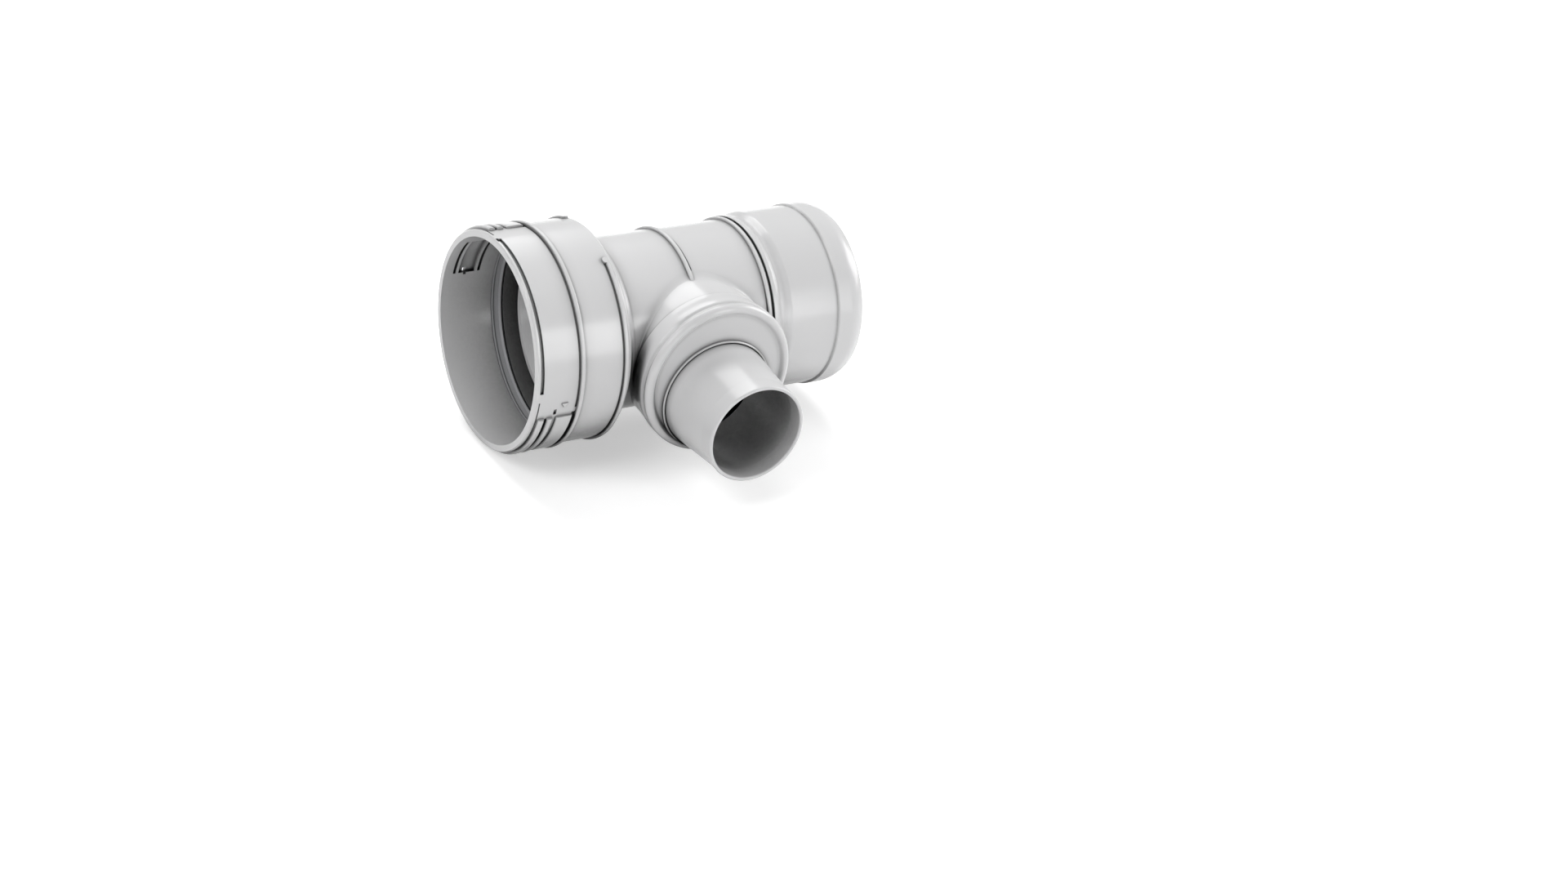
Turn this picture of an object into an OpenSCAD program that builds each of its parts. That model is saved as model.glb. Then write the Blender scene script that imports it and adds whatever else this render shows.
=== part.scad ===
// Flue tee with a latching bell, a push-in socket and a low branch spigot.
// The run lies along X with the bell's mouth at X = 0, the branch points along -Y, and Z is up.
// Angles about the run are counted from the branch (-Y) upwards, so 90 is the top.

/* [Run pipe] */
// Outside diameter of the run pipe
run_d = 100; // [92:1:108]
// Wall of the run pipe
run_wall = 3; // [2:0.1:4]
// Plain pipe left on each side of the branch boss
body_land = 1.5; // [1.3:0.1:20]
// Length of pipe that reaches into the bell coupling
bell_tail = 21; // [18:1:22]
// Length of pipe that reaches into the run socket
socket_tail = 20; // [15:1:30]
// Width of the beads round the pipe
pipe_bead_w = 2.6; // [1.5:0.1:4]
// Height of the beads round the pipe
pipe_bead_h = 1.7; // [0.8:0.1:3]
// How far the middle bead lies from the branch axis, towards the bell
mid_bead_shift = 2.6; // [0:0.1:15]
// Open gap between the end bead and the run socket
bead_gap = 1.2; // [0.8:0.1:2]
// Width of the narrow grooves beside the beads and ribs
side_groove_w = 1.2; // [0.6:0.1:1.6]
// Depth of the narrow grooves beside the beads and ribs
side_groove_depth = 0.8; // [0.4:0.1:1]

/* [Bell coupling] */
// Bore of the bell
bell_bore_d = 118; // [114:1:150]
// Wall of the bell
bell_wall = 4; // [3.8:0.1:6]
// Length of the bell up to its rounded shoulder
bell_len = 56; // [52:1:80]
// Length of the shoulder that closes the bell down to the pipe
shoulder_len = 10; // [8:1:14]
// Length of the sleeve inside the shoulder that grips the pipe
sleeve_len = 6; // [4:0.5:8]
// Wall of the sleeve where the pipe comes out of it
sleeve_wall = 1.6; // [1:0.1:3]
// Rounding of the bell's outer edges
bell_edge = 0.6; // [0.2:0.1:1]
// Width of the lip at the bell's mouth
lip_w = 1.8; // [1.2:0.1:3]
// Width of the groove behind the lip
lip_groove_w = 2.2; // [1:0.1:3]
// Depth of the groove behind the lip
lip_groove_depth = 1.6; // [0.5:0.1:2]
// Angle at which the groove behind the lip ends, by the top
lip_groove_to = 92; // [60:1:110]
// Width of the faint line that carries the groove on past its ends
lip_line_w = 0.8; // [0.4:0.1:2]
// Depth of that faint line
lip_line_depth = 0.5; // [0.2:0.1:1]
// Angle of the flush tab between the groove and the faint line
lip_tab_span = 5; // [2:1:10]
// How far the upper end of the groove hooks towards the mouth
lip_hook_len = 1; // [0.5:0.1:1.2]
// Angle that the hook spans
lip_hook_span = 2.7; // [1:0.1:4]
// Place of the round rib on the bell, from the mouth
bell_rib_x = 26.2; // [25:0.1:30]
// Width of the ribs on the bell
bell_rib_w = 2.4; // [1.5:0.1:4]
// Height of the round rib on the bell
bell_rib_h = 1.9; // [0.8:0.1:3]
// Height of the two part ribs at the bell's back edge
part_rib_h = 1.4; // [0.8:0.1:3]
// Angle at which the first part rib starts, by the branch's lower side
part_rib_from = -70; // [-85:1:-50]
// Angle at which the first part rib ends, by the top
part_rib_to = 65; // [50:1:85]
// Diameter of the round nubs at the ends of the part ribs
nub_d = 3.8; // [2.6:0.1:4]
// How far the middle of a nub lies behind the rib's front edge
nub_shift = 0.3; // [0:0.1:0.3]
// Angle from the rib's end to the middle of its nub
nub_inset = 0.6; // [0.3:0.1:1.5]

/* [Latches] */
// Angle of the end of the latch panel that lies by the branch
latch_angle = -14; // [-25:1:-8]
// Angle that the latch panel spans
panel_span = 62; // [40:1:75]
// Angle between the panel's end and the ends of its raised pads
pad_inset = 1.5; // [1:0.1:3]
// Distance from the mouth to the ridge in front of the panel
ridge_x = 3.1; // [2.9:0.1:3.4]
// Width of the ridge
ridge_w = 3.8; // [2.5:0.1:4.4]
// Height of the ridge
ridge_h = 1.9; // [1:0.1:2.2]
// Width of the groove between the ridge and the panel
panel_line_w = 1.5; // [0.8:0.1:1.8]
// Depth of the groove between the ridge and the panel
panel_line_depth = 0.9; // [0.4:0.1:1.1]
// Width of the panel's front pad
front_pad_w = 3.6; // [2.5:0.1:4.2]
// Height of the panel's front pad
front_pad_h = 1.8; // [1:0.1:2.1]
// Width of the valley between the panel's pads
valley_w = 2.2; // [1.6:0.1:2.6]
// Height of the panel's back pad
back_pad_h = 1.4; // [0.8:0.1:1.7]
// Width of the groove between the panel and the round rib
back_line_w = 1.9; // [1.3:0.1:2.2]
// Depth of the groove between the panel and the round rib
back_line_depth = 1.4; // [0.9:0.1:1.7]
// Angle between the panel's end and the narrow groove that goes on along the round rib
line_break_span = 3; // [2:0.1:5]
// Distance from the mouth to the arrow mark
mark_x = 16.2; // [15:0.1:18]
// Length of the arrow mark along the run
mark_len = 4; // [2.5:0.1:5]
// Width of the arrow mark
mark_w = 2.8; // [2:0.1:3.4]
// Height to which the arrow mark stands out
mark_h = 0.6; // [0.3:0.1:1]
// Angle between the panel's end and the middle of the arrow mark
mark_span = 5.5; // [4.5:0.1:8]
// Angle that the pocket inside the bell spans
pocket_span = 30; // [15:1:35]
// Angle by which the pocket runs on past the panel's end
pocket_lead = 2; // [0:0.1:2.4]
// Distance from the mouth to the pocket
pocket_x = 5.6; // [4:0.1:8]
// Length of the pocket along the run
pocket_len = 17; // [13:0.5:20]
// Depth of the pocket in the wall
pocket_depth = 1.9; // [1:0.1:2.2]
// Width of the two ribs that stand in the pocket
pocket_rib_w = 1.7; // [1:0.1:2.5]
// Length along the run of the slot through the wall at the pocket's end
slot_len = 1.8; // [1:0.1:2.1]
// Angle that the slot spans
slot_span = 3.4; // [2.5:0.1:4]

/* [Run socket] */
// Clearance round the pipe that goes into the run socket
pipe_clear = 0.3; // [0.1:0.05:0.5]
// Wall of the run socket
socket_wall = 2.6; // [2:0.1:4]
// Wall of the run socket at its thin waist behind the rolled edge
waist_wall = 0.9; // [0.6:0.1:1.6]
// Length from the run socket's edge to the start of its waist
waist_from = 5; // [4:0.1:6]
// Length from the run socket's edge to the end of its waist
waist_to = 6.6; // [6.2:0.1:7.6]
// How far the rolled edge by the bead stands out over the waist
rolled_h = 0.9; // [0.4:0.1:1.4]
// Width of the rolled edge
rolled_w = 2.2; // [1.6:0.1:3]
// Length from the run socket's edge to its full wall
flare_len = 12; // [9:0.5:18]
// Length of the stop ring inside the run socket
stop_len = 2; // [1:0.1:4]
// Depth to which a pipe goes into the run socket
socket_depth = 38.4; // [36:0.1:60]
// Length of the seal collar at the socket's mouth
collar_len = 17.8; // [16:0.1:26]
// How far the seal collar stands proud of the socket
collar_h = 1; // [0.6:0.1:3]
// Length of the step up to the seal collar
collar_ramp = 1.2; // [0.5:0.1:3]
// Length of the seal collar's rounded end
collar_round_len = 9.5; // [4:0.1:11]
// Width of the flat rim at the socket's mouth
socket_rim_w = 0.4; // [0.3:0.05:0.6]
// Length of the chamfer inside the socket's mouth
socket_chamfer = 0.8; // [0.5:0.1:1.2]

/* [Branch] */
// Outside diameter of the branch boss
boss_d = 89; // [80:1:90]
// Wall of the branch boss
boss_wall = 3; // [2:0.1:4]
// How far the end of the boss stands out past the pipe's side
boss_stand = 0.6; // [0.3:0.1:10]
// How far the boss's underside stays inside the line of the pipe's underside
boss_rise = 0.6; // [0.4:0.1:3]
// Bevel round the boss's end
boss_bevel = 0.4; // [0.2:0.05:0.5]
// Length of the reducer's tail inside the boss
tail_len = 10; // [5:0.5:14]
// Wall of the reducer
reducer_wall = 3; // [2:0.1:3.6]
// Length of the reducer's collar
reducer_len = 20; // [17:0.5:26]
// How far the reducer's collar stands proud of the boss at its back edge
collar_step = 0.6; // [0.4:0.1:1.2]
// Bevel of the collar's back edge
collar_edge = 0.4; // [0.2:0.1:0.8]
// How far the collar widens towards its front
collar_flare = 1.3; // [1:0.1:4]
// Width of the soft groove behind the collar's rounded front
soft_groove_w = 5; // [2:0.1:6]
// Depth of the soft groove
soft_groove_depth = 0.8; // [0.3:0.1:1.2]
// Rounding of the collar's front
front_round = 3.2; // [2:0.1:4]
// Width of the slope from the collar's front down to the reducer's face
front_slope_w = 3.5; // [2:0.1:4.5]
// How far the collar's front stands out from the reducer's face
front_bead_h = 2.2; // [1:0.1:2.6]
// How far the spigot's axis lies below the boss's axis
spigot_drop = 10.5; // [6:0.1:11]
// Outside diameter of the branch spigot
spigot_d = 60; // [50:1:61]
// Wall of the branch spigot
spigot_wall = 2.2; // [1.8:0.1:4]
// How much wider in radius the spigot is at its base than at its mouth
base_swell = 3; // [0.5:0.1:3]
// Length of the spigot in front of the reducer
spigot_len = 44.4; // [38:0.1:80]
// Length of the spigot that is an even cylinder
spigot_straight = 10; // [9:0.5:30]
// Length of the spigot's base inside the reducer
spigot_seat = 11; // [6:0.5:12]
// Width of the raised lip round the spigot's base
spigot_lip_w = 1.4; // [1.2:0.1:1.7]
// How far that lip stands out from the reducer's face
spigot_lip_h = 1.7; // [1.2:0.1:4]
// Bevel inside and outside on that lip
lip_bevel = 0.5; // [0.2:0.05:0.6]
// Gap left between parts that are pushed together
joint_gap = 0.1; // [0.05:0.05:0.2]

/* [Seals] */
// Length of each lip seal along the run
seal_len = 8; // [6:0.5:9]
// Depth of the seal grooves
seal_depth = 2; // [1.6:0.1:2.4]
// Distance from the bell's mouth to its seal groove
bell_seal_x = 32; // [31:0.5:36]
// Distance from the run socket's mouth to its seal groove
socket_seal_x = 7; // [6:0.5:8]

/* [Hidden] */
$fn = 180;
plastic = [0.86, 0.86, 0.87];
silicone = [0.62, 0.63, 0.65];
// How far a cut runs past the surface that it crosses
over = 1;
// How far a narrow groove runs under the form beside it
under = 0.4;
// Angle by which a groove and the form beside it end apart
end_apart = 0.7;
// Share of a bead's height that its corner rounding takes
rounding = 0.7;

run_r = run_d / 2;
run_bore_r = run_r - run_wall;
grip_r = run_r + joint_gap;
bell_bore_r = bell_bore_d / 2;
bell_r = bell_bore_r + bell_wall;
bell_back_x = bell_len + shoulder_len;
boss_r = boss_d / 2;
boss_bore_r = boss_r - boss_wall;
boss_z = boss_r + boss_rise - run_r;
boss_end = run_r + boss_stand;
body_len = boss_d + 2 * body_land;
branch_x = bell_back_x + body_len / 2;
socket_x = bell_back_x + body_len;
pipe_from = bell_back_x - bell_tail;
pipe_to = socket_x + socket_tail;
mid_bead_x = branch_x - mid_bead_shift - pipe_bead_w / 2;
end_bead_x = socket_x - bead_gap - pipe_bead_w;
panel_x = ridge_x + ridge_w + panel_line_w;
valley_x = panel_x + front_pad_w;
back_line_x = bell_rib_x - back_line_w;

socket_bore_r = run_r + pipe_clear;
socket_r = socket_bore_r + socket_wall;
stop_x = pipe_to + joint_gap;
run_end_x = stop_x + stop_len + socket_depth;
collar_x = run_end_x - collar_len;
run_seal_x = run_end_x - socket_seal_x - seal_len;

collar_back_r = boss_r + collar_step;
collar_front_r = collar_back_r + collar_flare;
face_z = reducer_len - front_bead_h;
spigot_z = boss_z - spigot_drop;
spigot_r = spigot_d / 2;
spigot_bore_r = spigot_r - spigot_wall;
base_r = spigot_r + base_swell;
base_bore_r = base_r - spigot_wall;
base_hole_r = base_r + joint_gap;
spigot_lip_r = base_hole_r + spigot_lip_w;
spigot_from = boss_end + face_z - spigot_seat;
spigot_to = boss_end + reducer_len + spigot_len;

// Points of an arc about [cx, cy] from angle a to angle b
function arc(cx, cy, r, a, b, n = 8) =
    [for (i = [0:n]) let (t = a + (b - a) * i / n) [cx + r * cos(t), cy + r * sin(t)]];

// Points of a soft S-shaped step from [r1, x1] to [r2, x2]
function s_curve(r1, x1, r2, x2, n = 14) =
    [for (i = [0:n]) let (t = i / n) [r2 + (r1 - r2) * (1 + cos(180 * t)) / 2, x1 + (x2 - x1) * t]];

// Cross-section of a rounded bead of width w and height h that stands on radius r from place x
module bead_section(r, x, w, h) {
    round_r = min(h, w / 2) * rounding;
    polygon(concat(
        [[r - h, x]],
        arc(r + h - round_r, x + round_r, round_r, -90, 0, 5),
        arc(r + h - round_r, x + w - round_r, round_r, 0, 90, 5),
        [[r - h, x + w]]
    ));
}

// Rectangle section from radius r1 to r2 and from place x1 to x2
module band(r1, r2, x1, x2) {
    translate([r1, x1]) square([r2 - r1, x2 - x1]);
}

// Turns a [radius, place] section all the way round the run
module round_run() {
    rotate([0, 90, 0]) rotate_extrude() children();
}

// Turns a [radius, place] section round the run from one angle to another
module part_round_run(from, to) {
    rotate([0, 90, 0]) rotate([0, 0, -90 - to]) rotate_extrude(angle = to - from) children();
}

// Places children, drawn along +Z, on an axis that points along the branch at height z
module on_branch(z) {
    translate([branch_x, 0, z]) rotate([90, 0, 0]) children();
}

// Repeats children on the two opposite sides of the run
module both_sides() {
    for (turn = [0, 180]) rotate([turn, 0, 0]) children();
}

// Bell: bore, rounded shoulder and the sleeve that grips the pipe, as one section
module bell_section() {
    sleeve_x = bell_back_x - sleeve_len;
    polygon(concat(
        [[bell_bore_r, 0], [bell_r - bell_edge, 0], [bell_r, bell_edge], [bell_r, bell_len - bell_edge]],
        s_curve(bell_r, bell_len, grip_r + sleeve_wall, bell_back_x),
        [[grip_r, bell_back_x]],
        s_curve(grip_r, sleeve_x, bell_bore_r, sleeve_x - shoulder_len)
    ));
}

module bell_coupling() {
    color(plastic) {
        difference() {
            union() {
                difference() {
                    round_run() bell_section();
                    both_sides() bell_grooves();
                }
                round_run() bead_section(bell_r, bell_rib_x, bell_rib_w, bell_rib_h);
                both_sides() {
                    part_rib();
                    latch_pads();
                    arrow_mark();
                }
            }
            round_run()
                band(bell_bore_r - over, bell_bore_r + seal_depth, bell_seal_x, bell_seal_x + seal_len);
            both_sides() {
                lip_grooves();
                latch_pocket();
            }
        }
    }
}

// Grooves on one side of the bell: along the part rib, along the round rib, and along the latch panel
module bell_grooves() {
    floor_r = bell_r - side_groove_depth;
    rib_x = bell_len - bell_rib_w;
    panel_from = latch_angle - panel_span;
    part_round_run(part_rib_from + nub_inset, part_rib_to - nub_inset)
        band(floor_r, bell_r + over, rib_x - side_groove_w, rib_x + under);
    part_round_run(latch_angle + line_break_span, panel_from + 180 + end_apart)
        band(floor_r, bell_r + over, bell_rib_x - side_groove_w, bell_rib_x + under);
    part_round_run(panel_from - end_apart, latch_angle)
        band(bell_r - back_line_depth, bell_r + over, back_line_x - under, bell_rib_x + 2 * under);
    part_round_run(panel_from + end_apart, latch_angle - pad_inset - end_apart)
        band(bell_r - panel_line_depth, bell_r + over, panel_x - panel_line_w - under, panel_x + under);
}

// One of the two part ribs at the bell's back edge, with round nubs at its ends
module part_rib() {
    rib_x = bell_len - bell_rib_w;
    part_round_run(part_rib_from, part_rib_to) bead_section(bell_r, rib_x, bell_rib_w, part_rib_h);
    for (angle = [part_rib_from + nub_inset, part_rib_to - nub_inset]) {
        rotate([-angle, 0, 0]) translate([rib_x + nub_shift, over - bell_r, 0]) rotate([90, 45, 0])
            cylinder(d = nub_d, h = part_rib_h + over);
    }
}

// Deep groove behind the lip over a quarter turn, hooked at its upper end, and a faint line past a flush tab
module lip_grooves() {
    line_from = lip_groove_to + lip_tab_span - 180;
    part_round_run(0, lip_groove_to)
        band(bell_r - lip_groove_depth, bell_r + over, lip_w, lip_w + lip_groove_w);
    part_round_run(line_from, -lip_tab_span)
        band(bell_r - lip_line_depth, bell_r + over, lip_w, lip_w + lip_line_w);
    part_round_run(lip_groove_to - lip_hook_span, lip_groove_to + end_apart)
        band(bell_r - lip_groove_depth + under, bell_r + over, lip_w - lip_hook_len, lip_w + under);
}

// Raised forms of a latch: a ridge in front, then the panel's two pads with a valley between them
module latch_pads() {
    back_pad_x = valley_x + valley_w;
    part_round_run(latch_angle - panel_span, latch_angle - pad_inset) {
        bead_section(bell_r, ridge_x, ridge_w, ridge_h);
        bead_section(bell_r, panel_x, front_pad_w, front_pad_h);
        bead_section(bell_r, back_pad_x, back_line_x - back_pad_x, back_pad_h);
    }
}

// Raised arrow that points at the latch panel
module arrow_mark() {
    tail = mark_w / 2;
    rotate([-latch_angle - mark_span, 0, 0]) translate([mark_x, over - bell_r, 0]) rotate([90, 0, 0])
        linear_extrude(mark_h + over) polygon([[0, tail], [mark_len, tail], [mark_len / 2, -tail]]);
}

// Pocket inside the bell with two ribs in it, and a slot through the wall at its end
module latch_pocket() {
    floor_r = bell_bore_r + pocket_depth;
    pocket_to = pocket_x + pocket_len;
    pocket_end = latch_angle + pocket_lead;
    slot_x = valley_x + (valley_w - slot_len) / 2;
    part_round_run(pocket_end - pocket_span, pocket_end) {
        band(bell_bore_r - over, floor_r, pocket_x, pocket_x + pocket_rib_w);
        band(bell_bore_r - over, floor_r, pocket_x + 2 * pocket_rib_w, pocket_to - 2 * pocket_rib_w);
        band(bell_bore_r - over, floor_r, pocket_to - pocket_rib_w, pocket_to);
    }
    part_round_run(latch_angle, latch_angle + slot_span)
        band(bell_bore_r - over, bell_r + over, slot_x, slot_x + slot_len);
}

// Lip seal drawn as it lies with a pipe in place: a band in the groove and two lips
module seal_section(bore_r, x) {
    outer_r = bore_r + seal_depth - joint_gap;
    lip_r = bore_r + joint_gap;
    web_r = (outer_r + lip_r) / 2;
    from = x + joint_gap;
    to = x + seal_len - joint_gap;
    third = (to - from) / 3;
    polygon([
        [outer_r, from], [outer_r, to],
        [web_r, to], [lip_r, to - third / 2], [web_r, to - third],
        [web_r, from + third], [lip_r, from + third / 2], [web_r, from]
    ]);
}

module bell_seal() {
    color(silicone) round_run() seal_section(bell_bore_r, bell_seal_x);
}

module run_seal() {
    color(silicone) round_run() seal_section(socket_bore_r, run_seal_x);
}

// Boss with a bevelled end, solid as yet
module boss_section() {
    polygon([
        [0, 0], [boss_r, 0], [boss_r, boss_end - boss_bevel], [boss_r - boss_bevel, boss_end], [0, boss_end]
    ]);
}

// Pipe with its beads and the branch boss, which opens into the pipe's bore
module tee_body() {
    groove_x = mid_bead_x + pipe_bead_w;
    floor_r = run_r - side_groove_depth;
    color(plastic) {
        difference() {
            union() {
                difference() {
                    round_run() band(0, run_r, pipe_from, pipe_to);
                    round_run()
                        band(floor_r, run_r + over, groove_x - under, groove_x + side_groove_w);
                }
                for (x = [mid_bead_x, end_bead_x]) {
                    round_run() bead_section(run_r, x, pipe_bead_w, pipe_bead_h);
                }
                on_branch(boss_z) rotate_extrude() boss_section();
            }
            round_run() band(0, run_bore_r, pipe_from - over, pipe_to + over);
            on_branch(boss_z) {
                cylinder(r = boss_bore_r, h = boss_end + over);
                translate([0, 0, boss_end]) cylinder(r = collar_back_r + joint_gap, h = pipe_bead_h + over);
            }
        }
    }
}

// Sleeve with a rolled edge by the bead, a waist, a flare, a stop ring, and a seal collar with a rounded end
module run_socket_section() {
    waist_r = grip_r + waist_wall;
    rolled_r = waist_r + rolled_h;
    edge_round = rolled_h * rounding;
    collar_r = socket_r + collar_h;
    mouth_r = socket_bore_r + socket_chamfer / 2;
    round_angle = 2 * atan((collar_r - mouth_r - socket_rim_w) / collar_round_len);
    round_r = collar_round_len / sin(round_angle);
    polygon(concat(
        [[grip_r, socket_x]],
        arc(rolled_r - edge_round, socket_x + edge_round, edge_round, -90, 0, 5),
        s_curve(rolled_r, socket_x + rolled_w, waist_r, socket_x + waist_from, 8),
        s_curve(waist_r, socket_x + waist_to, socket_r, socket_x + flare_len),
        [[socket_r, collar_x - collar_ramp / 2], [collar_r, collar_x + collar_ramp / 2]],
        arc(collar_r - round_r, run_end_x - collar_round_len, round_r, 0, round_angle, 10),
        [
            [mouth_r, run_end_x], [socket_bore_r, run_end_x - socket_chamfer],
            [socket_bore_r, stop_x + stop_len], [run_bore_r, stop_x + stop_len],
            [run_bore_r, stop_x], [grip_r, stop_x]
        ]
    ));
}

module run_socket() {
    color(plastic) {
        difference() {
            round_run() run_socket_section();
            round_run()
                band(socket_bore_r - over, socket_bore_r + seal_depth, run_seal_x, run_seal_x + seal_len);
        }
    }
}

// Outside of the reducer's collar: bevelled back edge, flare, soft groove, rounded front, slope to the face
module reducer_section() {
    crest_r = collar_front_r - front_round;
    groove_to = reducer_len - front_round;
    groove_from = groove_to - soft_groove_w;
    groove = [for (i = [1:9]) let (t = i / 10)
        [collar_front_r - soft_groove_depth * (1 - cos(360 * t)) / 2, groove_from + soft_groove_w * t]];
    slope = [for (i = [1:8]) let (t = i / 8)
        [crest_r - front_slope_w * t, face_z + front_bead_h * (1 + cos(180 * t)) / 2]];
    polygon(concat(
        [[0, 0], [collar_back_r - collar_edge, 0]],
        s_curve(collar_back_r, collar_edge, collar_front_r, groove_from, 8),
        groove,
        arc(crest_r, groove_to, front_round, 0, 90, 10),
        slope,
        [[0, face_z]]
    ));
}

// Lip round the spigot's base, with a bevelled outer edge
module spigot_lip_section() {
    polygon([
        [0, -over], [spigot_lip_r, -over], [spigot_lip_r, spigot_lip_h - lip_bevel],
        [spigot_lip_r - lip_bevel, spigot_lip_h], [0, spigot_lip_h]
    ]);
}

// Eccentric reducer: a tail in the boss, a hollow collar, and the low socket of the spigot with its lip
module branch_reducer() {
    hollow_r = collar_back_r - reducer_wall;
    seat_z = face_z - spigot_seat;
    bevel_len = lip_bevel + joint_gap;
    color(plastic) {
        difference() {
            on_branch(boss_z) {
                translate([0, 0, boss_end]) rotate_extrude() reducer_section();
                translate([0, 0, boss_end - tail_len])
                    cylinder(r = boss_bore_r - joint_gap, h = tail_len + over);
                translate([0, -spigot_drop, boss_end + face_z]) rotate_extrude() spigot_lip_section();
            }
            on_branch(boss_z) {
                translate([0, 0, boss_end - tail_len - over])
                    cylinder(r = boss_bore_r - reducer_wall, h = tail_len + reducer_wall + 2 * over);
                difference() {
                    translate([0, 0, boss_end + reducer_wall])
                        cylinder(r = hollow_r, h = face_z - 2 * reducer_wall);
                    translate([0, -spigot_drop, boss_end + seat_z])
                        cylinder(r = spigot_lip_r, h = spigot_seat);
                }
                translate([0, -spigot_drop, boss_end + seat_z - over])
                    cylinder(r = base_hole_r, h = reducer_len);
                translate([0, -spigot_drop, boss_end + face_z + spigot_lip_h - bevel_len])
                    cylinder(r1 = base_r, r2 = base_r + bevel_len + over, h = bevel_len + over);
            }
            round_run() band(0, run_bore_r, bell_back_x, socket_x);
        }
    }
}

// Spigot: a wider base in the reducer, a taper, then an even cylinder with a rounded mouth
module spigot_section() {
    mouth_r = spigot_wall / 2;
    taper_from = boss_end + face_z + spigot_lip_h;
    taper_to = spigot_to - spigot_straight;
    polygon(concat(
        [[base_bore_r, spigot_from], [base_r, spigot_from], [base_r, taper_from], [spigot_r, taper_to]],
        arc(spigot_r - mouth_r, spigot_to - mouth_r, mouth_r, 0, 180, 10),
        [[spigot_bore_r, taper_to], [base_bore_r, taper_from]]
    ));
}

module branch_spigot() {
    color(plastic) on_branch(spigot_z) rotate_extrude() spigot_section();
}

bell_coupling();
bell_seal();
tee_body();
run_socket();
run_seal();
branch_reducer();
branch_spigot();
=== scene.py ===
"""Looks of the flue tee: finishes for its moulded pieces, a soft corner round its boss, and a plain studio.

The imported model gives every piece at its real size. This script dresses those pieces, fills the corner
between the boss and the pipe with a soft blend, and sets up the camera, the floor and the lights.
"""

import logging
import math
from dataclasses import dataclass, replace
from enum import Enum

import bpy
from mathutils import Matrix, Vector


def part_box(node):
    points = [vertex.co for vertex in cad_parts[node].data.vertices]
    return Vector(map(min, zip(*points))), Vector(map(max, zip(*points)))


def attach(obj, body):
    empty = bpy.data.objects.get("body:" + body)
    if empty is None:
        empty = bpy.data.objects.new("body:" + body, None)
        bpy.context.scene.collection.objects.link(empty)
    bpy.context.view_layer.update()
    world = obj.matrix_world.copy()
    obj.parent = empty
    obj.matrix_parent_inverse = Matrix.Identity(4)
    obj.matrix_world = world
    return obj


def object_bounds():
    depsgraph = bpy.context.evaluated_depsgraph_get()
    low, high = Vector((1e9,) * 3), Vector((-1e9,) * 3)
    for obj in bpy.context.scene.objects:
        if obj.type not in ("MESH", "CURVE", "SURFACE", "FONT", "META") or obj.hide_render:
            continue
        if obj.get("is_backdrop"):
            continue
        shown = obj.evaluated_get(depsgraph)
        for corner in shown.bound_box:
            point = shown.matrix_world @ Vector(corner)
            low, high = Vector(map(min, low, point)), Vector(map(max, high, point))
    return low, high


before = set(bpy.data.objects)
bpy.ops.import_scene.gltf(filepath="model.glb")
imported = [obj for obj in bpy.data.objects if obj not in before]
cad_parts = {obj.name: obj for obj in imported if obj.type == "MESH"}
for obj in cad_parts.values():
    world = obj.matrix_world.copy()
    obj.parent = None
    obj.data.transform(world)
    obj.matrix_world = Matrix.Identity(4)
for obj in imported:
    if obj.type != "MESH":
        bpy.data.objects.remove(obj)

LOG = logging.getLogger("flue_tee")
BODY = "root"
MM = 0.001
WHITE = (1.0, 1.0, 1.0, 1.0)
Value = bpy.types.NodeSocket | float


class Slot(Enum):
    """Material slots of the record that the finishes belong to."""

    PLASTIC = "white_plastic"
    SEAL = "seal_rubber"


class Closed(Enum):
    """Kinds of closed places that light hardly reaches, where shade is painted into the colour."""

    SEAM = "Seam"
    VALLEY = "Valley"
    HOLLOW = "Hollow"


@dataclass(frozen=True)
class TeeSizes:
    """Sizes that the looks need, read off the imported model's nodes, in metres."""

    run_r: float
    branch_x: float
    boss_r: float
    boss_z: float

    @classmethod
    def from_frame(cls) -> "TeeSizes":
        """Measures the pipe at its plain right end, and the boss just behind its bevelled end.

        Returns:
            The sizes of this pack.
        """
        reducer_low, reducer_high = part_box("branch_reducer")
        body_low, body_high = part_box("tee_body")
        points = [v.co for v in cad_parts["tee_body"].data.vertices]
        pipe_end = [p for p in points if p.x > body_high.x - MM]
        boss_end = [p for p in points if p.y < body_low.y + MM]
        return cls(
            run_r=max(math.hypot(p.y, p.z) for p in pipe_end),
            branch_x=(reducer_low.x + reducer_high.x) / 2,
            boss_r=(max(p.x for p in boss_end) - min(p.x for p in boss_end)) / 2,
            boss_z=(max(p.z for p in boss_end) + min(p.z for p in boss_end)) / 2,
        )


def feed(tree: bpy.types.NodeTree, socket: bpy.types.NodeSocket, value: Value) -> None:
    """Gives a node's input its value.

    Args:
        tree: The tree that the node is in.
        socket: The input.
        value: A number, or the socket of another node that is linked to the input.
    """
    if isinstance(value, bpy.types.NodeSocket):
        tree.links.new(value, socket)
    else:
        socket.default_value = value


def add_math(tree: bpy.types.NodeTree, operation: str, *values: Value) -> bpy.types.NodeSocket:
    """Adds one sum to a tree.

    Args:
        tree: The tree.
        operation: Blender's name of the sum.
        values: Its inputs in order, numbers or sockets.

    Returns:
        The socket with the result.
    """
    node = tree.nodes.new("ShaderNodeMath")
    node.operation = operation
    for socket, value in zip(node.inputs, values):
        feed(tree, socket, value)
    return node.outputs[0]


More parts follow.
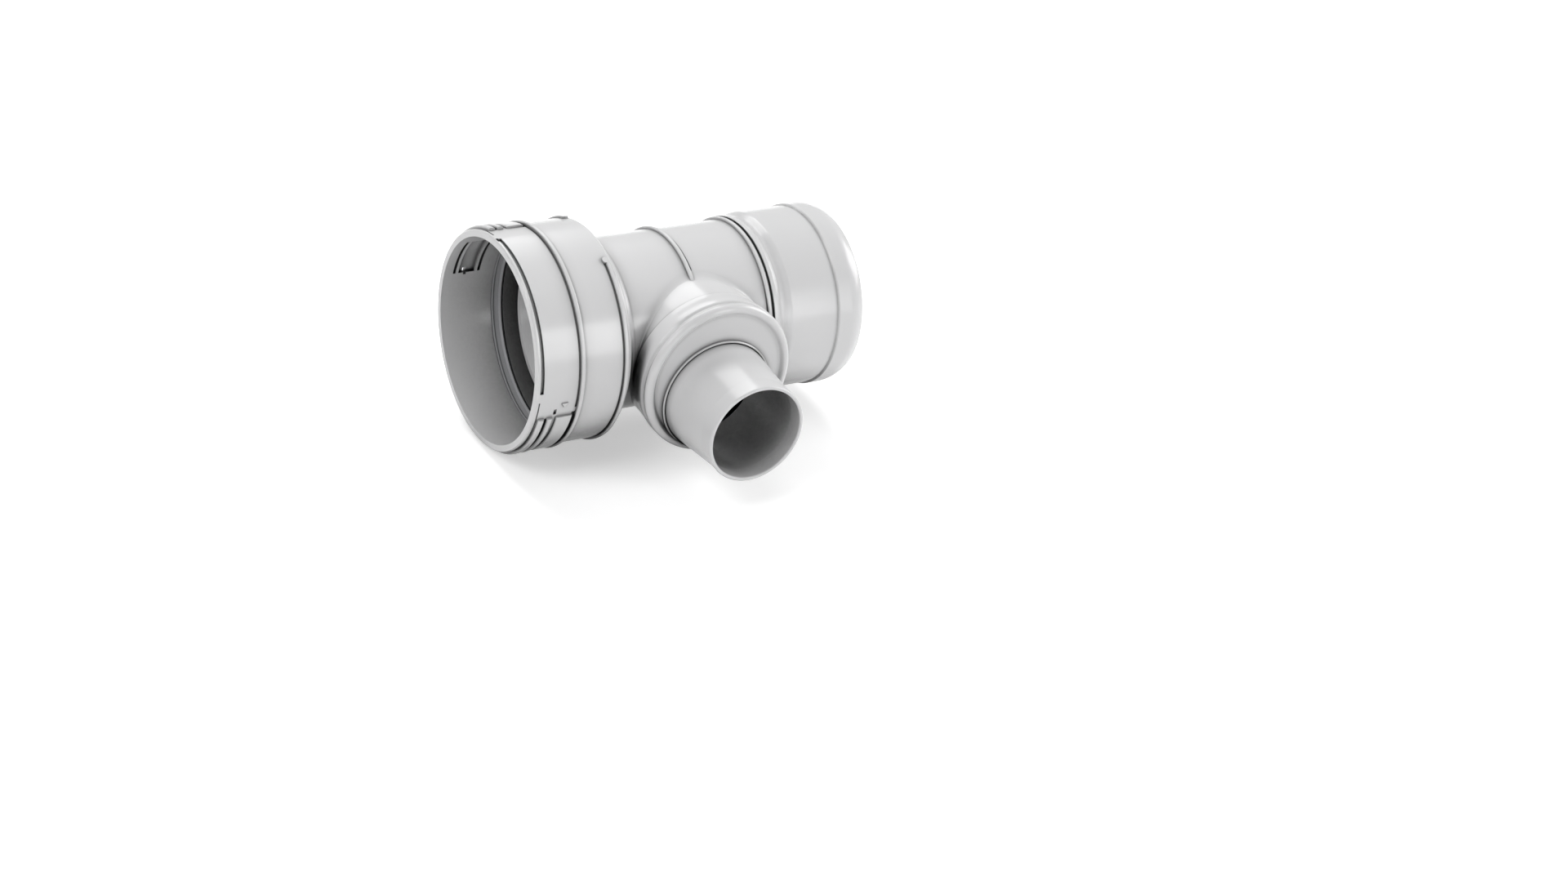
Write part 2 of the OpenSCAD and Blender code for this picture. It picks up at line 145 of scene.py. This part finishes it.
class NodeGroup:
    """A node tree that is built once, with named inputs and outputs."""

    NAME = ""
    KIND = ""
    INPUTS: dict[str, str] = {}
    OUTPUTS: dict[str, str] = {}

    @classmethod
    def get(cls) -> bpy.types.NodeTree:
        """Finds the tree, or builds it the first time.

        Returns:
            The tree.
        """
        found = bpy.data.node_groups.get(cls.NAME)
        if found:
            return found
        tree = bpy.data.node_groups.new(cls.NAME, cls.KIND)
        for side, sockets in (("INPUT", cls.INPUTS), ("OUTPUT", cls.OUTPUTS)):
            for name, kind in sockets.items():
                tree.interface.new_socket(name=name, in_out=side, socket_type=kind)
        cls._fill(tree, tree.nodes.new("NodeGroupInput"), tree.nodes.new("NodeGroupOutput"))
        return tree

    @classmethod
    def _fill(cls, tree: bpy.types.NodeTree, entry: bpy.types.Node, leave: bpy.types.Node) -> None:
        """Adds the tree's own nodes.

        Args:
            tree: The tree.
            entry: The node with the tree's inputs.
            leave: The node with the tree's outputs.
        """
        raise NotImplementedError


@dataclass(frozen=True)
class ShadeRule:
    """How the painted shade of one kind of closed place is felt.

    The painted shade is full where the share of open space is below full_at, and gone where it is above
    gone_at.
    """

    kind: Closed
    full_at: float
    gone_at: float
    rays: int


class SurfaceGroup(NodeGroup):
    """Shader nodes that the finishes share: grain, faint mottling, uneven gloss and painted shade that darkens
    closed places.
    """

    NAME = "moulded_surface"
    KIND = "ShaderNodeTree"
    INPUTS = {
        "Colour": "NodeSocketColor",
        "Mottle": "NodeSocketFloat",
        "Roughness": "NodeSocketFloat",
        "Roughness Spread": "NodeSocketFloat",
        "Grain Scale": "NodeSocketFloat",
        "Grain Height": "NodeSocketFloat",
        "Seam Reach": "NodeSocketFloat",
        "Seam Shade": "NodeSocketFloat",
        "Valley Reach": "NodeSocketFloat",
        "Valley Shade": "NodeSocketFloat",
        "Hollow Reach": "NodeSocketFloat",
        "Hollow Shade": "NodeSocketFloat",
    }
    OUTPUTS = {
        "Colour": "NodeSocketColor",
        "Roughness": "NodeSocketFloat",
        "Normal": "NodeSocketVector",
    }
    SHADES = (
        ShadeRule(Closed.SEAM, full_at=0.45, gone_at=0.97, rays=6),
        ShadeRule(Closed.VALLEY, full_at=0.85, gone_at=1.0, rays=6),
        ShadeRule(Closed.HOLLOW, full_at=0.2, gone_at=0.46, rays=12),
    )
    GRAIN_DETAIL = 3.0
    MOTTLE_SCALE = 22.0
    MOTTLE_DETAIL = 2.0
    GLOSS_SCALE = 60.0
    GLOSS_DETAIL = 1.0
    NOISE_MIDDLE = 0.5

    @classmethod
    def _fill(cls, tree: bpy.types.NodeTree, entry: bpy.types.Node, leave: bpy.types.Node) -> None:
        """Adds the noises, the shades and the sums that join them.

        Args:
            tree: The tree.
            entry: The node with the tree's inputs.
            leave: The node with the tree's outputs.
        """
        given = entry.outputs
        grain = cls._noise(tree, given["Grain Scale"], cls.GRAIN_DETAIL)
        clouds = cls._noise(tree, cls.MOTTLE_SCALE, cls.MOTTLE_DETAIL)
        waves = cls._noise(tree, cls.GLOSS_SCALE, cls.GLOSS_DETAIL)
        mottle = add_math(tree, "SUBTRACT", clouds, cls.NOISE_MIDDLE)
        uneven = add_math(tree, "SUBTRACT", waves, cls.NOISE_MIDDLE)

        level = add_math(tree, "MULTIPLY_ADD", mottle, given["Mottle"], 1.0)
        # painted shade: the colour is scaled down where seams, valleys and hollows leave little open space
        for rule in cls.SHADES:
            level = add_math(tree, "MULTIPLY", level, cls._shade(tree, entry, rule))
        tint = tree.nodes.new("ShaderNodeVectorMath")
        tint.operation = "SCALE"
        feed(tree, tint.inputs[0], given["Colour"])
        feed(tree, tint.inputs["Scale"], level)
        feed(tree, leave.inputs["Colour"], tint.outputs[0])

        gloss = add_math(tree, "MULTIPLY_ADD", uneven, given["Roughness Spread"], given["Roughness"])
        feed(tree, leave.inputs["Roughness"], gloss)

        bump = tree.nodes.new("ShaderNodeBump")
        feed(tree, bump.inputs["Distance"], given["Grain Height"])
        feed(tree, bump.inputs["Height"], grain)
        feed(tree, leave.inputs["Normal"], bump.outputs["Normal"])

    @staticmethod
    def _noise(tree: bpy.types.NodeTree, scale: Value, detail: float) -> bpy.types.NodeSocket:
        """Adds a noise that stays put on the object.

        Args:
            tree: The tree.
            scale: The noise's scale, for lengths in metres.
            detail: How many finer layers it has.

        Returns:
            The socket with the noise.
        """
        place = tree.nodes.new("ShaderNodeTexCoord")
        noise = tree.nodes.new("ShaderNodeTexNoise")
        feed(tree, noise.inputs["Vector"], place.outputs["Object"])
        feed(tree, noise.inputs["Scale"], scale)
        feed(tree, noise.inputs["Detail"], detail)
        return noise.outputs["Fac"]

    @staticmethod
    def _shade(tree: bpy.types.NodeTree, entry: bpy.types.Node, rule: ShadeRule) -> bpy.types.NodeSocket:
        """Adds the nodes that paint shade into the colour of places with little open space in front of them.

        Args:
            tree: The tree.
            entry: The node with the tree's inputs, of which "<kind> Reach" and "<kind> Shade" are used.
            rule: How that kind of place is felt.

        Returns:
            A socket that is 1 in the open and falls by the shade's strength in the closed places.
        """
        kind = rule.kind.value
        closed = tree.nodes.new("ShaderNodeAmbientOcclusion")
        closed.samples = rule.rays
        feed(tree, closed.inputs["Distance"], entry.outputs[f"{kind} Reach"])
        fade = tree.nodes.new("ShaderNodeMapRange")
        feed(tree, fade.inputs["Value"], closed.outputs["AO"])
        feed(tree, fade.inputs["From Min"], rule.full_at)
        feed(tree, fade.inputs["From Max"], rule.gone_at)
        feed(tree, fade.inputs["To Min"], add_math(tree, "SUBTRACT", 1.0, entry.outputs[f"{kind} Shade"]))
        return fade.outputs[0]


@dataclass(frozen=True)
class Finish:
    """One moulded finish: its colour, gloss and grain, and how far and how much shade is painted into its
    closed places.

    A reach is how far, in metres, open space is looked for, and a shade is the share of the colour that the
    painted shade takes away.
    """

    name: str
    slot: Slot
    colour: tuple[float, float, float]
    mottle: float
    roughness: float
    roughness_spread: float
    grain_scale: float
    grain_height: float
    seam_reach: float = 2.5 * MM
    seam_shade: float = 0.6
    valley_reach: float = 8 * MM
    valley_shade: float = 0.2
    hollow_reach: float = 95 * MM
    hollow_shade: float = 0.97
    specular: float = 0.5

    def material(self) -> bpy.types.Material:
        """Finds the finish's material, or builds it the first time.

        Returns:
            The material.
        """
        found = bpy.data.materials.get(self.name)
        if found:
            return found
        made = bpy.data.materials.new(self.name)
        made.use_nodes = True
        tree = made.node_tree
        shader = tree.nodes["Principled BSDF"]
        surface = tree.nodes.new("ShaderNodeGroup")
        surface.node_tree = SurfaceGroup.get()
        for name, value in self._values().items():
            surface.inputs[name].default_value = value
        feed(tree, shader.inputs["Base Color"], surface.outputs["Colour"])
        feed(tree, shader.inputs["Roughness"], surface.outputs["Roughness"])
        feed(tree, shader.inputs["Normal"], surface.outputs["Normal"])
        shader.inputs["Specular IOR Level"].default_value = self.specular
        return made

    def _values(self) -> dict[str, tuple[float, ...] | float]:
        """Lists what the finish gives to the shared surface nodes.

        Returns:
            The value of each of their inputs, by its name.
        """
        return {
            "Colour": (*self.colour, 1.0),
            "Mottle": self.mottle,
            "Roughness": self.roughness,
            "Roughness Spread": self.roughness_spread,
            "Grain Scale": self.grain_scale,
            "Grain Height": self.grain_height,
            "Seam Reach": self.seam_reach,
            "Seam Shade": self.seam_shade,
            "Valley Reach": self.valley_reach,
            "Valley Shade": self.valley_shade,
            "Hollow Reach": self.hollow_reach,
            "Hollow Shade": self.hollow_shade,
        }


WHITE_PLASTIC = Finish(
    name="moulded_white",
    slot=Slot.PLASTIC,
    colour=(0.70, 0.70, 0.705),
    mottle=0.05,
    roughness=0.22,
    roughness_spread=0.06,
    grain_scale=1400.0,
    grain_height=0.006 * MM,
)
# copies of the white finish that differ only in how far and how strongly shade is painted into closed places
BELL_PLASTIC = replace(WHITE_PLASTIC, name="moulded_white_bell", hollow_reach=125 * MM)
COLLAR_PLASTIC = replace(WHITE_PLASTIC, name="moulded_white_collar", valley_reach=3.6 * MM, valley_shade=0.25)
SOCKET_PLASTIC = replace(WHITE_PLASTIC, name="moulded_white_socket", valley_reach=2.4 * MM, valley_shade=0.7)
SEAL_RUBBER = Finish(
    name="grey_seal",
    slot=Slot.SEAL,
    colour=(0.48, 0.485, 0.50),
    mottle=0.1,
    roughness=0.6,
    roughness_spread=0.1,
    grain_scale=900.0,
    grain_height=0.03 * MM,
    seam_shade=0.25,
    specular=0.3,
)


def dress_node(name: str, finish: Finish) -> None:
    """Gives a carried-over node its finish.

    Args:
        name: The node's name.
        finish: The finish that it gets.
    """
    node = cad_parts[name]
    node.data.materials.clear()
    node.data.materials.append(finish.material())
    LOG.info("%s dressed in %s", name, finish.name)


@dataclass
class BellEnd:
    """The bell coupling with its latches, and its hidden seal."""

    wall: Finish = BELL_PLASTIC
    seal: Finish = SEAL_RUBBER

    def dress(self) -> None:
        """Gives the bell and its seal their finishes."""
        dress_node("bell_coupling", self.wall)
        dress_node("bell_seal", self.seal)


@dataclass
class RunEnd:
    """The push-in socket and its seal."""

    wall: Finish = SOCKET_PLASTIC
    seal: Finish = SEAL_RUBBER

    def dress(self) -> None:
        """Gives the socket and its seal their finishes."""
        dress_node("run_socket", self.wall)
        dress_node("run_seal", self.seal)


@dataclass(frozen=True)
class Station:
    """One place along an inner corner, with the edges that a blend has there on the two surfaces."""

    corner: Vector
    edge_one: Vector
    edge_two: Vector


class CornerBlend(NodeGroup):
    """Geometry Nodes that fill the inner corner along a path with a hollow rounded blend.

    Each point of the path lies in the corner, and carries two vectors, the legs: how far the blend reaches
    along each of the two surfaces there. SINK is the share of the legs by which the section's last point lies
    behind the corner, and edges that turn by more than SHARP_ABOVE degrees stay sharp.
    """

    NAME = "corner_blend"
    KIND = "GeometryNodeTree"
    INPUTS = {
        "Geometry": "NodeSocketGeometry",
        "Steps": "NodeSocketInt",
        "Sink": "NodeSocketFloat",
        "Material": "NodeSocketMaterial",
    }
    OUTPUTS = {"Geometry": "NodeSocketGeometry"}
    CORNER = "corner"
    LEG_ONE = "leg_one"
    LEG_TWO = "leg_two"
    WEIGHT = "weight"
    SINK = 0.12
    LAST_AND_SUNK = 2.0
    HALF_STEP = 0.5
    SHARP_ABOVE = 35.0

    @classmethod
    def _fill(cls, tree: bpy.types.NodeTree, entry: bpy.types.Node, leave: bpy.types.Node) -> None:
        """Sweeps a section of weights along the path, and sets its points out between the two legs.

        Args:
            tree: The tree.
            entry: The node with the tree's inputs.
            leave: The node with the tree's outputs.
        """
        nodes = tree.nodes
        path = nodes.new("GeometryNodeMeshToCurve")
        feed(tree, path.inputs[0], entry.outputs["Geometry"])
        sweep = nodes.new("GeometryNodeCurveToMesh")
        feed(tree, sweep.inputs["Curve"], path.outputs[0])
        feed(tree, sweep.inputs["Profile Curve"], cls._section(tree, entry))
        feed(tree, sweep.inputs["Fill Caps"], True)

        weight = nodes.new("ShaderNodeSeparateXYZ")
        feed(tree, weight.inputs[0], cls._carried(tree, cls.WEIGHT))
        place = cls._carried(tree, cls.CORNER)
        for leg, share in ((cls.LEG_ONE, "X"), (cls.LEG_TWO, "Y")):
            reach = nodes.new("ShaderNodeVectorMath")
            reach.operation = "SCALE"
            feed(tree, reach.inputs[0], cls._carried(tree, leg))
            feed(tree, reach.inputs["Scale"], weight.outputs[share])
            added = nodes.new("ShaderNodeVectorMath")
            added.operation = "ADD"
            feed(tree, added.inputs[0], place)
            feed(tree, added.inputs[1], reach.outputs[0])
            place = added.outputs[0]
        settle = nodes.new("GeometryNodeSetPosition")
        feed(tree, settle.inputs["Geometry"], sweep.outputs[0])
        feed(tree, settle.inputs["Position"], place)

        real = nodes.new("GeometryNodeRealizeInstances")
        feed(tree, real.inputs[0], settle.outputs[0])
        finish = nodes.new("GeometryNodeSetMaterial")
        feed(tree, finish.inputs["Geometry"], real.outputs[0])
        feed(tree, finish.inputs["Material"], entry.outputs["Material"])
        feed(tree, leave.inputs[0], finish.outputs[0])

    @staticmethod
    def _carried(tree: bpy.types.NodeTree, name: str) -> bpy.types.NodeSocket:
        """Adds a node that reads a vector carried by each point.

        Args:
            tree: The tree.
            name: The vector's name.

        Returns:
            The socket with the vector.
        """
        node = tree.nodes.new("GeometryNodeInputNamedAttribute")
        node.data_type = "FLOAT_VECTOR"
        node.inputs["Name"].default_value = name
        return node.outputs["Attribute"]

    @classmethod
    def _section(cls, tree: bpy.types.NodeTree, entry: bpy.types.Node) -> bpy.types.NodeSocket:
        """Adds the section, whose points hold shares (1-t)^2 and t^2 of the two legs. The last is sunk.

        Args:
            tree: The tree.
            entry: The node with the tree's inputs, of which "Steps" and "Sink" are used.

        Returns:
            The socket with the closed section curve.
        """
        steps = entry.outputs["Steps"]
        ring = tree.nodes.new("GeometryNodeCurvePrimitiveCircle")
        feed(tree, ring.inputs["Resolution"], add_math(tree, "ADD", steps, cls.LAST_AND_SUNK))
        index = tree.nodes.new("GeometryNodeInputIndex").outputs[0]
        is_sunk = add_math(tree, "GREATER_THAN", index, add_math(tree, "ADD", steps, cls.HALF_STEP))
        is_arc = add_math(tree, "SUBTRACT", 1.0, is_sunk)
        sunk = add_math(tree, "MULTIPLY", add_math(tree, "MULTIPLY", is_sunk, -1.0), entry.outputs["Sink"])
        share = add_math(tree, "DIVIDE", index, steps)
        rest = add_math(tree, "SUBTRACT", 1.0, share)
        weight = tree.nodes.new("ShaderNodeCombineXYZ")
        for socket, value in zip(weight.inputs, (rest, share)):
            square = add_math(tree, "MULTIPLY", value, value)
            feed(tree, socket, add_math(tree, "ADD", add_math(tree, "MULTIPLY", square, is_arc), sunk))
        keep = tree.nodes.new("GeometryNodeStoreNamedAttribute")
        keep.data_type = "FLOAT_VECTOR"
        keep.inputs["Name"].default_value = cls.WEIGHT
        feed(tree, keep.inputs["Geometry"], ring.outputs[0])
        feed(tree, keep.inputs["Value"], weight.outputs[0])
        return keep.outputs[0]

    @classmethod
    def make(cls, name: str, path: list[Station], finish: Finish, steps: int) -> bpy.types.Object:
        """Makes a blend along a path.

        Args:
            name: The piece's name.
            path: The places along the corner.
            finish: The piece's finish.
            steps: Number of facets across the blend.

        Returns:
            The finished piece, a plain mesh.
        """
        holder = cls._path_object(f"{name}_path", path)
        tree = cls.get()
        modifier = holder.modifiers.new(cls.NAME, "NODES")
        modifier.node_group = tree
        chosen = {"Steps": steps, "Sink": cls.SINK, "Material": finish.material()}
        for item in tree.interface.items_tree:
            if item.in_out == "INPUT" and item.name in chosen:
                modifier[item.identifier] = chosen[item.name]
        ready = holder.evaluated_get(bpy.context.evaluated_depsgraph_get())
        mesh = bpy.data.meshes.new_from_object(ready)
        line = holder.data
        bpy.data.objects.remove(holder)
        bpy.data.meshes.remove(line)
        mesh.name = name
        for layer in list(mesh.attributes):
            if layer.name in (cls.CORNER, cls.LEG_ONE, cls.LEG_TWO, cls.WEIGHT):
                mesh.attributes.remove(layer)
        mesh.shade_smooth()
        mesh.set_sharp_from_angle(angle=math.radians(cls.SHARP_ABOVE))
        piece = bpy.data.objects.new(name, mesh)
        bpy.context.scene.collection.objects.link(piece)
        return piece

    @classmethod
    def _path_object(cls, name: str, path: list[Station]) -> bpy.types.Object:
        """Makes the object that the nodes work on: a line of edges whose points carry the two legs.

        Args:
            name: The object's name.
            path: The places along the corner.

        Returns:
            The object.
        """
        line = bpy.data.meshes.new(name)
        line.from_pydata([s.corner for s in path], [(i, i + 1) for i in range(len(path) - 1)], [])
        carried = {
            cls.CORNER: [s.corner for s in path],
            cls.LEG_ONE: [s.edge_one - s.corner for s in path],
            cls.LEG_TWO: [s.edge_two - s.corner for s in path],
        }
        for key, vectors in carried.items():
            layer = line.attributes.new(key, "FLOAT_VECTOR", "POINT")
            layer.data.foreach_set("vector", [c for v in vectors for c in v])
        holder = bpy.data.objects.new(name, line)
        bpy.context.scene.collection.objects.link(holder)
        return holder


@dataclass
class Branch:
    """The pipe with its boss, the reducer and the spigot.

    Angles are about the boss's axis, in degrees from +X.
    """

    sizes: TeeSizes
    wall: Finish = WHITE_PLASTIC
    collar: Finish = COLLAR_PLASTIC
    blend_reach: float = 2.6 * MM
    blend_least: float = 0.1 * MM
    blend_fade: float = 0.7
    blend_from: float = 17.0
    blend_to: float = 163.0
    blend_stations: int = 110
    blend_steps: int = 8

    def dress(self) -> None:
        """Gives the pipe, the reducer and the spigot their finishes."""
        dress_node("tee_body", self.wall)
        dress_node("branch_reducer", self.collar)
        dress_node("branch_spigot", self.wall)

    def blend(self) -> None:
        """Fills the corner between the boss and the pipe, widest at the top and thin down both sides."""
        stations = [self._station(i / self.blend_stations) for i in range(self.blend_stations + 1)]
        piece = CornerBlend.make("boss_blend", stations, self.wall, self.blend_steps)
        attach(piece, BODY)
        LOG.info("boss_blend made, %d faces", len(piece.data.polygons))

    def _station(self, share: float) -> Station:
        """Works out the corner and the blend's two edges at one place round the boss.

        Args:
            share: How far along the blend the place lies, from 0 to 1.

        Returns:
            The place, with the first edge on the boss and the second on the pipe.
        """
        turn = math.radians(self.blend_from + (self.blend_to - self.blend_from) * share)
        reach = self.blend_reach * math.sin(math.pi * share) ** self.blend_fade + self.blend_least
        corner = self._on_pipe(turn, self.sizes.boss_r)
        return Station(
            corner=corner,
            edge_one=corner + Vector((0.0, -reach, 0.0)),
            edge_two=self._on_pipe(turn, self.sizes.boss_r + reach),
        )

    def _on_pipe(self, turn: float, away: float) -> Vector:
        """Finds the point of the pipe's surface that lies in front of a point round the boss's axis.

        Args:
            turn: Angle about the boss's axis, in radians.
            away: Distance from the boss's axis.

        Returns:
            The point on the pipe.
        """
        x = self.sizes.branch_x + away * math.cos(turn)
        z = self.sizes.boss_z + away * math.sin(turn)
        return Vector((x, -math.sqrt(self.sizes.run_r**2 - z**2), z))


@dataclass(frozen=True)
class SoftBox:
    """One lamp with a soft rectangular face: where it hangs, the size of its face, and its power in watts."""

    name: str
    place: tuple[float, float, float]
    width: float
    height: float
    watts: float


@dataclass
class Studio:
    """Camera, floor, world and lamps. Lengths are in metres, apart from those that say mm.

    The floor is as pale as floor_seen, with floor_glow of its own light, for rays that show it, and as pale as
    floor_bounce for rays that carry its light to the tee.
    """

    camera_mm: tuple[float, float, float] = (-676.704, -1236.064, 775.403)
    camera_right: tuple[float, float, float] = (0.847809, -0.511829, 0.138747)
    camera_up: tuple[float, float, float] = (0.158603, 0.494393, 0.854647)
    camera_back: tuple[float, float, float] = (-0.506029, -0.702571, 0.500328)
    camera_nearest: float = 0.05
    camera_farthest: float = 50.0
    lens_mm: float = 65.625
    sensor_mm: float = 36.0
    floor_half: float = 6.0
    floor_drop: float = 0.5 * MM
    floor_seen: float = 0.97
    floor_bounce: float = 0.95
    floor_glow: float = 0.46
    floor_roughness: float = 0.9
    floor_specular: float = 0.1
    sky_top: float = 0.08
    sky_low: float = 0.04
    lamp_aim: tuple[float, float, float] = (0.11, -0.03, 0.0)
    lamps: tuple[SoftBox, ...] = (
        SoftBox("strip_key", place=(1.14, -1.97, 0.62), width=0.4, height=1.25, watts=10.0),
        SoftBox("low_front_box", place=(-0.3, -2.1, 0.25), width=1.6, height=0.5, watts=7.0),
        SoftBox("left_box", place=(-1.6, -0.3, 1.6), width=1.2, height=1.2, watts=21.0),
        SoftBox("right_box", place=(2.2, -0.2, 0.9), width=1.2, height=1.2, watts=26.0),
        SoftBox("back_box", place=(0.3, 1.6, 1.7), width=1.6, height=1.6, watts=30.0),
        SoftBox("top_box", place=(0.1, 0.2, 2.2), width=2.4, height=2.4, watts=8.0),
    )

    def place_camera(self) -> None:
        """Places the camera at the photograph's viewing angle."""
        data = bpy.data.cameras.new("photo_camera")
        data.lens = self.lens_mm
        data.sensor_width = self.sensor_mm
        data.clip_start = self.camera_nearest
        data.clip_end = self.camera_farthest
        camera = bpy.data.objects.new("photo_camera", data)
        turned = Matrix((self.camera_right, self.camera_up, self.camera_back)).transposed().to_4x4()
        camera.matrix_world = Matrix.Translation(Vector(self.camera_mm) * MM) @ turned
        bpy.context.scene.collection.objects.link(camera)
        bpy.context.scene.camera = camera

    def seen_directly(self, tree: bpy.types.NodeTree) -> bpy.types.NodeSocket:
        """Adds nodes that tell the rays which show the background from those that carry its light.

        Args:
            tree: The tree of a material or of the world.

        Returns:
            A socket that is 1 for camera, glossy and transmission rays, and 0 for the others.
        """
        path = tree.nodes.new("ShaderNodeLightPath")
        seen = path.outputs["Is Camera Ray"]
        for kind in ("Is Glossy Ray", "Is Transmission Ray"):
            seen = add_math(tree, "MAXIMUM", seen, path.outputs[kind])
        return seen

    def lay_floor(self) -> None:
        """Lays a plain pale floor just under the lowest point of the tee."""
        low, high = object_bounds()
        middle = (low + high) / 2
        half = self.floor_half
        level = low.z - self.floor_drop
        turns = ((-1, -1), (1, -1), (1, 1), (-1, 1))
        corners = [(middle.x + half * a, middle.y + half * b, level) for a, b in turns]
        mesh = bpy.data.meshes.new("floor")
        mesh.from_pydata(corners, [], [range(len(corners))])
        floor = bpy.data.objects.new("floor", mesh)
        bpy.context.scene.collection.objects.link(floor)
        mesh.materials.append(self.floor_material())
        floor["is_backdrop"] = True

    def floor_material(self) -> bpy.types.Material:
        """Builds the floor's finish: white with the tee's shadow where it is seen, and plain pale for light.

        Returns:
            The material.
        """
        material = bpy.data.materials.new("floor_white")
        material.use_nodes = True
        tree = material.node_tree
        shader = tree.nodes["Principled BSDF"]
        tone = tree.nodes.new("ShaderNodeMapRange")
        feed(tree, tone.inputs["Value"], self.seen_directly(tree))
        feed(tree, tone.inputs["To Min"], self.floor_bounce)
        feed(tree, tone.inputs["To Max"], self.floor_seen)
        feed(tree, shader.inputs["Base Color"], tone.outputs[0])
        glow = add_math(tree, "MULTIPLY", self.seen_directly(tree), self.floor_glow)
        feed(tree, shader.inputs["Emission Strength"], glow)
        shader.inputs["Emission Color"].default_value = WHITE
        shader.inputs["Roughness"].default_value = self.floor_roughness
        shader.inputs["Specular IOR Level"].default_value = self.floor_specular
        return material

    def make_world(self) -> None:
        """Lights the tee from all round, brighter from above, and shows white behind it."""
        world = bpy.data.worlds.new("studio_world")
        bpy.context.scene.world = world
        world.use_nodes = True
        tree = world.node_tree
        tree.nodes.clear()
        place = tree.nodes.new("ShaderNodeTexCoord")
        split = tree.nodes.new("ShaderNodeSeparateXYZ")
        feed(tree, split.inputs[0], place.outputs["Generated"])
        ramp = tree.nodes.new("ShaderNodeMapRange")
        feed(tree, ramp.inputs["Value"], split.outputs["Z"])
        feed(tree, ramp.inputs["To Min"], self.sky_low)
        feed(tree, ramp.inputs["To Max"], self.sky_top)
        light = tree.nodes.new("ShaderNodeBackground")
        feed(tree, light.inputs["Strength"], ramp.outputs[0])
        white = tree.nodes.new("ShaderNodeBackground")
        mix = tree.nodes.new("ShaderNodeMixShader")
        feed(tree, mix.inputs[0], self.seen_directly(tree))
        feed(tree, mix.inputs[1], light.outputs[0])
        feed(tree, mix.inputs[2], white.outputs[0])
        out = tree.nodes.new("ShaderNodeOutputWorld")
        feed(tree, out.inputs["Surface"], mix.outputs[0])

    def hang_lamp(self, box: SoftBox) -> None:
        """Hangs one lamp, facing the tee.

        Args:
            box: The lamp's place, size and power.
        """
        data = bpy.data.lights.new(box.name, "AREA")
        data.shape = "RECTANGLE"
        data.size = box.width
        data.size_y = box.height
        data.energy = box.watts
        lamp = bpy.data.objects.new(box.name, data)
        lamp.location = box.place
        lamp.rotation_mode = "QUATERNION"
        lamp.rotation_quaternion = (Vector(box.place) - Vector(self.lamp_aim)).to_track_quat("Z", "Y")
        bpy.context.scene.collection.objects.link(lamp)

    def build(self) -> None:
        """Builds the whole studio."""
        self.place_camera()
        self.lay_floor()
        self.make_world()
        for box in self.lamps:
            self.hang_lamp(box)
        bpy.context.scene.view_settings.view_transform = "Standard"
        LOG.info("studio built, %d lamps", len(self.lamps))


def main() -> None:
    """Builds the tee's looks and its studio in order."""
    logging.basicConfig(level=logging.INFO, format="%(name)s: %(message)s")
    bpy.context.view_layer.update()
    BellEnd().dress()
    RunEnd().dress()
    branch = Branch(TeeSizes.from_frame())
    branch.dress()
    branch.blend()
    Studio().build()


if __name__ == "__main__":
    main()
